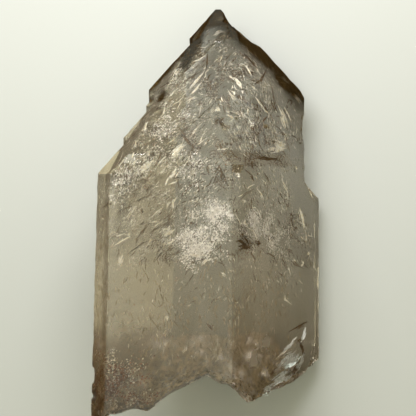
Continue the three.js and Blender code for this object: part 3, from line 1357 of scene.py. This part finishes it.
# A veil is given by its middle pixel, depth, length and width in millimetres, grain and fill.
# A streak is given by the pixels it runs through, its depth and its width.
LEFT_GRAIN = math.radians(-42)
RIGHT_GRAIN = math.radians(28)
MOTTLE = (
    Veil((219, 38), 1.0, (8, 8), LEFT_GRAIN, 0.4),
    Veil((200, 62), 1.3, (12, 7), LEFT_GRAIN, 0.5),
    Veil((186, 60), 0.9, (10, 5), LEFT_GRAIN, 1.2),
    Veil((166, 92), 0.9, (9, 4), LEFT_GRAIN, 1.0),
    Veil((240, 62), 1.3, (10, 10), RIGHT_GRAIN, 0.5),
    Veil((265, 88), 0.8, (13, 8), RIGHT_GRAIN, 1.1),
    Veil((175, 88), 1.2, (14, 7), LEFT_GRAIN, 0.8),
    Veil((145, 120), 1.2, (16, 7), LEFT_GRAIN, 0.8),
    Veil((215, 70), 1.5, (14, 12), LEFT_GRAIN, 0.8),
    Veil((245, 85), 0.9, (13, 12), RIGHT_GRAIN, 1.2),
    Veil((190, 105), 1.8, (17, 13), LEFT_GRAIN, 1.0),
    Veil((250, 118), 0.9, (17, 15), RIGHT_GRAIN, 1.3),
    Veil((263, 138), 0.9, (10, 13), RIGHT_GRAIN, 1.5),
    Veil((288, 125), 1.2, (13, 6), RIGHT_GRAIN, 0.8),
    Veil((150, 145), 1.4, (18, 10), LEFT_GRAIN, 0.7),
    Veil((180, 150), 2.2, (16, 15), LEFT_GRAIN, 0.9),
    Veil((215, 150), 2.4, (14, 14), LEFT_GRAIN, 0.8),
    Veil((125, 195), 1.4, (16, 10), LEFT_GRAIN, 0.9),
    Veil((160, 200), 2.0, (22, 16), LEFT_GRAIN, 1.0),
    Veil((205, 195), 2.4, (18, 16), LEFT_GRAIN, 0.9),
    Veil((262, 205), 1.8, (14, 14), RIGHT_GRAIN, 0.6),
    Veil((272, 172), 1.6, (8, 12), RIGHT_GRAIN, 0.5),
    Veil((135, 240), 1.6, (14, 14), LEFT_GRAIN, 0.9),
    Veil((180, 240), 2.2, (13, 18), LEFT_GRAIN, 0.8),
    Veil((205, 236), 1.6, (8, 9), LEFT_GRAIN, 1.6),
    Veil((240, 240), 1.8, (13, 16), RIGHT_GRAIN, 0.9),
    Veil((280, 235), 1.6, (20, 12), RIGHT_GRAIN, 0.7),
    Veil((302, 235), 1.0, (26, 5), RIGHT_GRAIN, 1.0),
    Veil((270, 275), 2.0, (16, 14), RIGHT_GRAIN, 0.35),
    Veil((190, 320), 2.0, (30, 24), LEFT_GRAIN, 0.07),
)
MILKY = (
    Veil((205, 236), 0.9, (14, 12), LEFT_GRAIN, 1.5),
    Veil((214, 224), 1.0, (9, 9), RIGHT_GRAIN, 1.2),
    Veil((192, 246), 1.0, (9, 10), LEFT_GRAIN, 0.9),
    Veil((128, 175), 1.2, (14, 7), LEFT_GRAIN, 0.6),
    Veil((256, 224), 1.2, (8, 8), RIGHT_GRAIN, 0.8),
    Veil((272, 236), 1.2, (10, 7), RIGHT_GRAIN, 0.7),
    Veil((108, 388), 0.6, (8, 8), LEFT_GRAIN, 0.5),
    Veil((104, 362), 0.6, (8, 5), LEFT_GRAIN, 0.4),
    Veil((165, 125), 1.4, (12, 6), LEFT_GRAIN, 0.4),
    Veil((195, 172), 1.6, (8, 10), LEFT_GRAIN, 0.3),
)
SHADE = (
    # A dense band of dark flecks: painted shadow below the bright flakes.
    Veil((262, 158), 0.9, (3.4, 19), math.radians(-3), 3.0),
    Veil((250, 100), 1.0, (14, 12), RIGHT_GRAIN, 0.7),
    Veil((222, 62), 1.0, (12, 9), LEFT_GRAIN, 0.5),
    Veil((268, 92), 0.9, (10, 6), RIGHT_GRAIN, 0.6),
    Veil((240, 247), 1.0, (5, 7), RIGHT_GRAIN, 1.3),
    Veil((247, 236), 1.0, (4, 5), LEFT_GRAIN, 1.6),
    Veil((264, 243), 1.0, (4, 6), RIGHT_GRAIN, 1.3),
    Veil((165, 250), 1.0, (4, 8), LEFT_GRAIN, 1.4),
    Veil((300, 240), 0.9, (20, 4), RIGHT_GRAIN, 0.7),
    Veil((188, 135), 1.0, (10, 4), RIGHT_GRAIN, 0.7),
    Veil((224, 178), 1.0, (8, 4), RIGHT_GRAIN, 1.2),
    Veil((236, 80), 1.0, (6, 10), RIGHT_GRAIN, 1.3),
    Veil((213, 88), 1.0, (7, 4), RIGHT_GRAIN, 1.4),
    Veil((262, 128), 1.0, (7, 7), RIGHT_GRAIN, 1.1),
    Veil((140, 160), 1.0, (12, 5), LEFT_GRAIN, 0.4),
    Veil((175, 215), 1.0, (7, 7), LEFT_GRAIN, 0.4),
    Veil((98, 371), 0.5, (4, 2.5), LEFT_GRAIN, 2.5),
    Veil((112, 392), 0.5, (8, 7), LEFT_GRAIN, 0.7),
    Veil((124, 376), 0.6, (6, 6), LEFT_GRAIN, 0.5),
)
FIBRES = (
    Veil((150, 310), 2.0, (26, 16), 0.0, 1.0),
    Veil((205, 300), 3.0, (24, 18), 0.0, 1.0),
    Veil((260, 305), 2.4, (26, 16), 0.0, 1.0),
    Veil((236, 335), 1.6, (20, 3), 0.0, 2.5),
    Veil((200, 350), 2.6, (12, 26), 0.0, 1.0),
    Veil((103, 290), 0.9, (34, 3), 0.0, 3.0),
    Veil((103, 215), 0.9, (16, 3), 0.0, 3.0),
)
RUST = (
    Veil((215, 130), 2.0, (40, 34), LEFT_GRAIN, 0.08),
    Veil((243, 250), 3, (5, 5), RIGHT_GRAIN, 1.0),
    Veil((235, 330), 4, (24, 14), RIGHT_GRAIN, 0.12),
    Veil((155, 320), 4, (26, 14), LEFT_GRAIN, 0.12),
    Veil((112, 388), 1.2, (10, 6), LEFT_GRAIN, 1.0),
    Veil((130, 385), 1.0, (8, 14), LEFT_GRAIN, 0.5),
    Veil((200, 345), 1.5, (14, 34), 0.0, 0.08),
)
STAIN = (
    Veil((108, 385), 0.5, (13, 8), LEFT_GRAIN, 1.0),
    Veil((104, 368), 0.7, (9, 7), LEFT_GRAIN, 1.0),
    Veil((122, 398), 0.6, (8, 11), LEFT_GRAIN, 1.0),
    Veil((145, 396), 0.6, (6, 12), LEFT_GRAIN, 0.6),
    Veil((97, 371), 0.4, (8, 3), LEFT_GRAIN, 1.0),
    Veil((130, 372), 0.8, (9, 9), LEFT_GRAIN, 0.5),
)
BRIGHT_STREAKS = (
    Streak(((186, 93), (195, 82), (205, 71)), 1.2, 0.6),
    Streak(((189, 97), (197, 88), (204, 80)), 1.4, 0.4),
    Streak(((184, 104), (191, 99), (199, 95)), 1.6, 0.7),
    Streak(((276, 103), (283, 117), (289, 133)), 1.5, 0.9),
    Streak(((282, 104), (288, 115), (292, 124)), 1.2, 0.4),
    Streak(((263, 151), (276, 149), (288, 146)), 1.5, 1.3),
    Streak(((267, 139), (277, 142), (287, 147)), 1.3, 0.9),
    Streak(((228, 110), (240, 114), (249, 122)), 2.0, 0.6),
    Streak(((214, 107), (217, 109), (220, 112)), 2.0, 1.0),
    Streak(((136, 176), (145, 167), (154, 159)), 1.5, 0.9),
    Streak(((170, 180), (174, 174), (178, 167)), 1.5, 0.8),
    Streak(((167, 160), (177, 150), (187, 141)), 1.8, 0.9),
    Streak(((123, 222), (130, 212), (138, 203)), 1.5, 0.8),
    Streak(((119, 268), (120, 261), (122, 253)), 1.5, 0.8),
    Streak(((154, 248), (164, 237), (175, 228)), 2.5, 0.5),
    Streak(((186, 254), (196, 256), (206, 255)), 2.5, 0.6),
    Streak(((242, 222), (245, 224), (248, 226)), 2.0, 0.9),
    Streak(((268, 234), (270, 240), (273, 246)), 1.5, 0.4),
    Streak(((299, 206), (302, 217), (305, 231)), 1.0, 0.9),
    Streak(((212, 37), (219, 32), (227, 31)), 1.0, 1.0),
    Streak(((291, 92), (296, 97), (301, 104)), 0.7, 1.0),
)
SCAR_GLINTS = (
    Streak(((281, 353), (290, 345), (298, 337)), 0.8, 1.0),
    Streak(((273, 373), (284, 362), (293, 351)), 0.8, 0.9),
    Streak(((266, 386), (280, 381), (294, 373)), 0.8, 1.0),
    Streak(((261, 392), (268, 389), (276, 388)), 0.7, 1.3),
    Streak(((295, 374), (301, 363), (305, 350)), 0.8, 0.8),
    Streak(((286, 372), (292, 362), (299, 352)), 0.9, 1.2),
    Streak(((300, 345), (304, 336), (307, 326)), 0.8, 0.6),
    Streak(((280, 370), (290, 360), (299, 352)), 0.7, 2.2),
    Streak(((270, 384), (280, 376), (292, 368)), 0.7, 1.6),
)
DARK_STREAKS_AND_SHADOW = (
    Streak(((174, 122), (185, 138), (197, 153)), 1.6, 0.45),
    Streak(((182, 164), (192, 165), (203, 169)), 2.2, 0.9),
    Streak(((217, 164), (223, 177), (228, 189)), 2.2, 0.7),
    Streak(((228, 84), (240, 74), (257, 72)), 1.6, 0.4),
    Streak(((287, 333), (300, 326), (310, 321)), 0.8, 0.4),
    Streak(((297, 338), (302, 347), (304, 358)), 1.0, 0.6),
    Streak(((267, 379), (276, 370), (284, 360)), 1.0, 0.5),
    Streak(((285, 381), (294, 373), (302, 364)), 1.0, 0.6),
    Streak(((205, 321), (210, 327), (215, 334)), 0.8, 0.15),
    # These two streaks are painted shadow below the bright flakes.
    Streak(((236, 161), (258, 157), (284, 161)), 0.9, 0.5),
    Streak(((250, 157), (268, 160), (289, 157)), 1.1, 0.35),
    Streak(((233, 242), (240, 240), (247, 244)), 0.7, 0.5),
    Streak(((237, 250), (244, 246), (252, 249)), 0.7, 0.6),
    Streak(((243, 235), (248, 241), (250, 249)), 0.7, 0.5),
    Streak(((252, 240), (259, 243), (267, 241)), 0.7, 0.4),
    Streak(((240, 166), (252, 176), (258, 190)), 1.0, 0.4),
    Streak(((268, 68), (262, 80), (252, 88)), 0.9, 0.5),
    Streak(((232, 94), (243, 99), (252, 108)), 0.9, 0.4),
    Streak(((270, 112), (262, 122), (258, 134)), 0.9, 0.4),
    Streak(((206, 46), (207, 58), (205, 71)), 0.5, 0.25),
    Streak(((243, 52), (250, 60), (257, 69)), 0.5, 0.25),
    Streak(((194, 62), (187, 70), (178, 78)), 0.5, 0.25),
    Streak(((170, 81), (163, 86), (156, 90)), 0.5, 0.35),
)


def add_veils(view: PhotoView) -> None:
    """Strew the healed cracks and growth zones with their flecks, and lay a band of dark flecks as painted
    shadow.

    Args:
        view: The way from pixels into the quartz.
    """
    layers = (
        HealedVeils(
            view, "pale_mottle", Finish.AIR_FILM, MOTTLE,
            per_mm2=30.0, shortest_mm=0.05, longest_mm=0.28, slenderness=2.4, seed=11,
        ),
        HealedVeils(
            view, "dark_mottle", Finish.SHADED_FILM, MOTTLE,
            per_mm2=9.0, shortest_mm=0.05, longest_mm=0.35, slenderness=2.4, seed=23,
        ),
        HealedVeils(
            view, "pale_strokes", Finish.AIR_FILM, MOTTLE,
            per_mm2=7.0, shortest_mm=0.15, longest_mm=1.1, slenderness=5.0, seed=41,
        ),
        HealedVeils(
            view, "dark_strokes", Finish.SHADED_FILM, MOTTLE,
            per_mm2=5.0, shortest_mm=0.2, longest_mm=1.4, slenderness=7.0, seed=53,
        ),
        HealedVeils(
            view, "milky_cloud", Finish.MILKY_FILM, MILKY,
            per_mm2=90.0, shortest_mm=0.06, longest_mm=0.5, slenderness=2.0, seed=61,
        ),
        HealedVeils(
            view, "dark_bands", Finish.SHADED_FILM, SHADE,
            per_mm2=60.0, shortest_mm=0.08, longest_mm=0.45, slenderness=2.6, seed=71,
        ),
        HealedVeils(
            view, "pale_fibres", Finish.AIR_FILM, FIBRES,
            per_mm2=1.4, shortest_mm=0.2, longest_mm=1.6, slenderness=9.0, seed=13,
        ),
        HealedVeils(
            view, "dusty_fibres", Finish.DUSTY_FILM, FIBRES,
            per_mm2=4.0, shortest_mm=0.2, longest_mm=2.0, slenderness=8.0, seed=17,
        ),
    )
    for layer in layers:
        layer.build()


def add_stains(view: PhotoView, skin: bpy.types.Mesh) -> None:
    """Add the dust on the break, the rust and the crumbly grains at the lower left corner.

    Args:
        view: The way from pixels into the quartz.
        skin: The finished surface of the quartz.
    """
    layers = (
        BreakCrust(
            view, "break_crust", Finish.BREAK_DUST, (),
            per_mm2=9.0, shortest_mm=0.4, longest_mm=1.1, slenderness=1.5, seed=19, margin_mm=0.2, skin=skin,
        ),
        HealedVeils(
            view, "rust_specks", Finish.IRON_OXIDE, RUST,
            per_mm2=5.0, shortest_mm=0.12, longest_mm=0.42, slenderness=1.3, seed=37,
        ),
        HealedVeils(
            view, "iron_stain", Finish.IRON_OXIDE, STAIN,
            per_mm2=30.0, shortest_mm=0.1, longest_mm=0.6, slenderness=1.7, seed=59, margin_mm=0.35,
        ),
        HealedVeils(
            view, "corner_grains", Finish.AIR_FILM, STAIN,
            per_mm2=16.0, shortest_mm=0.12, longest_mm=0.55, slenderness=1.5, seed=89, margin_mm=0.35,
        ),
    )
    for layer in layers:
        layer.build()


def add_fractures(view: PhotoView) -> None:
    """Add the larger flakes, the cracks and two dark streaks of painted shadow.

    Args:
        view: The way from pixels into the quartz.
    """
    Fractures(
        view, "bright_flakes", Finish.OPEN_CLEFT, BRIGHT_STREAKS,
        seed=83, sliver_mm=(0.08, 0.3), per_mm=13.0,
    ).build()
    Fractures(
        view, "scar_glints", Finish.GLASSY_STEP, SCAR_GLINTS,
        seed=29, sliver_mm=(0.1, 0.32), per_mm=14.0,
    ).build()
    pale = Scatter(MOTTLE, count=150, length_px=(5, 24), width_mm=(0.1, 0.5), seed=31)
    Fractures(
        view, "pale_cracks", Finish.OPEN_CLEFT, pale.streaks(view.mm_per_pixel),
        seed=43, sliver_mm=(0.05, 0.22), fewest=2,
    ).build()
    dark = Scatter(MOTTLE, count=260, length_px=(5, 26), width_mm=(0.1, 0.5), seed=47)
    Fractures(
        view, "fine_dark_cracks", Finish.SHADED_FILM, dark.streaks(view.mm_per_pixel),
        seed=67, sliver_mm=(0.05, 0.2), fewest=2,
    ).build()
    Fractures(view, "dark_cracks", Finish.SHADED_FILM, DARK_STREAKS_AND_SHADOW, seed=97).build()


def main() -> None:
    """Build the crystal and its studio."""
    logging.basicConfig(level=logging.INFO, format="%(message)s")
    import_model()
    view = PhotoView()
    view.build()
    Studio().build()
    skin = QuartzSkin().build(SmokyQuartz())
    view.look_through(skin.data)
    add_veils(view)
    add_stains(view, skin.data)
    add_fractures(view)


if __name__ == "__main__":
    main()
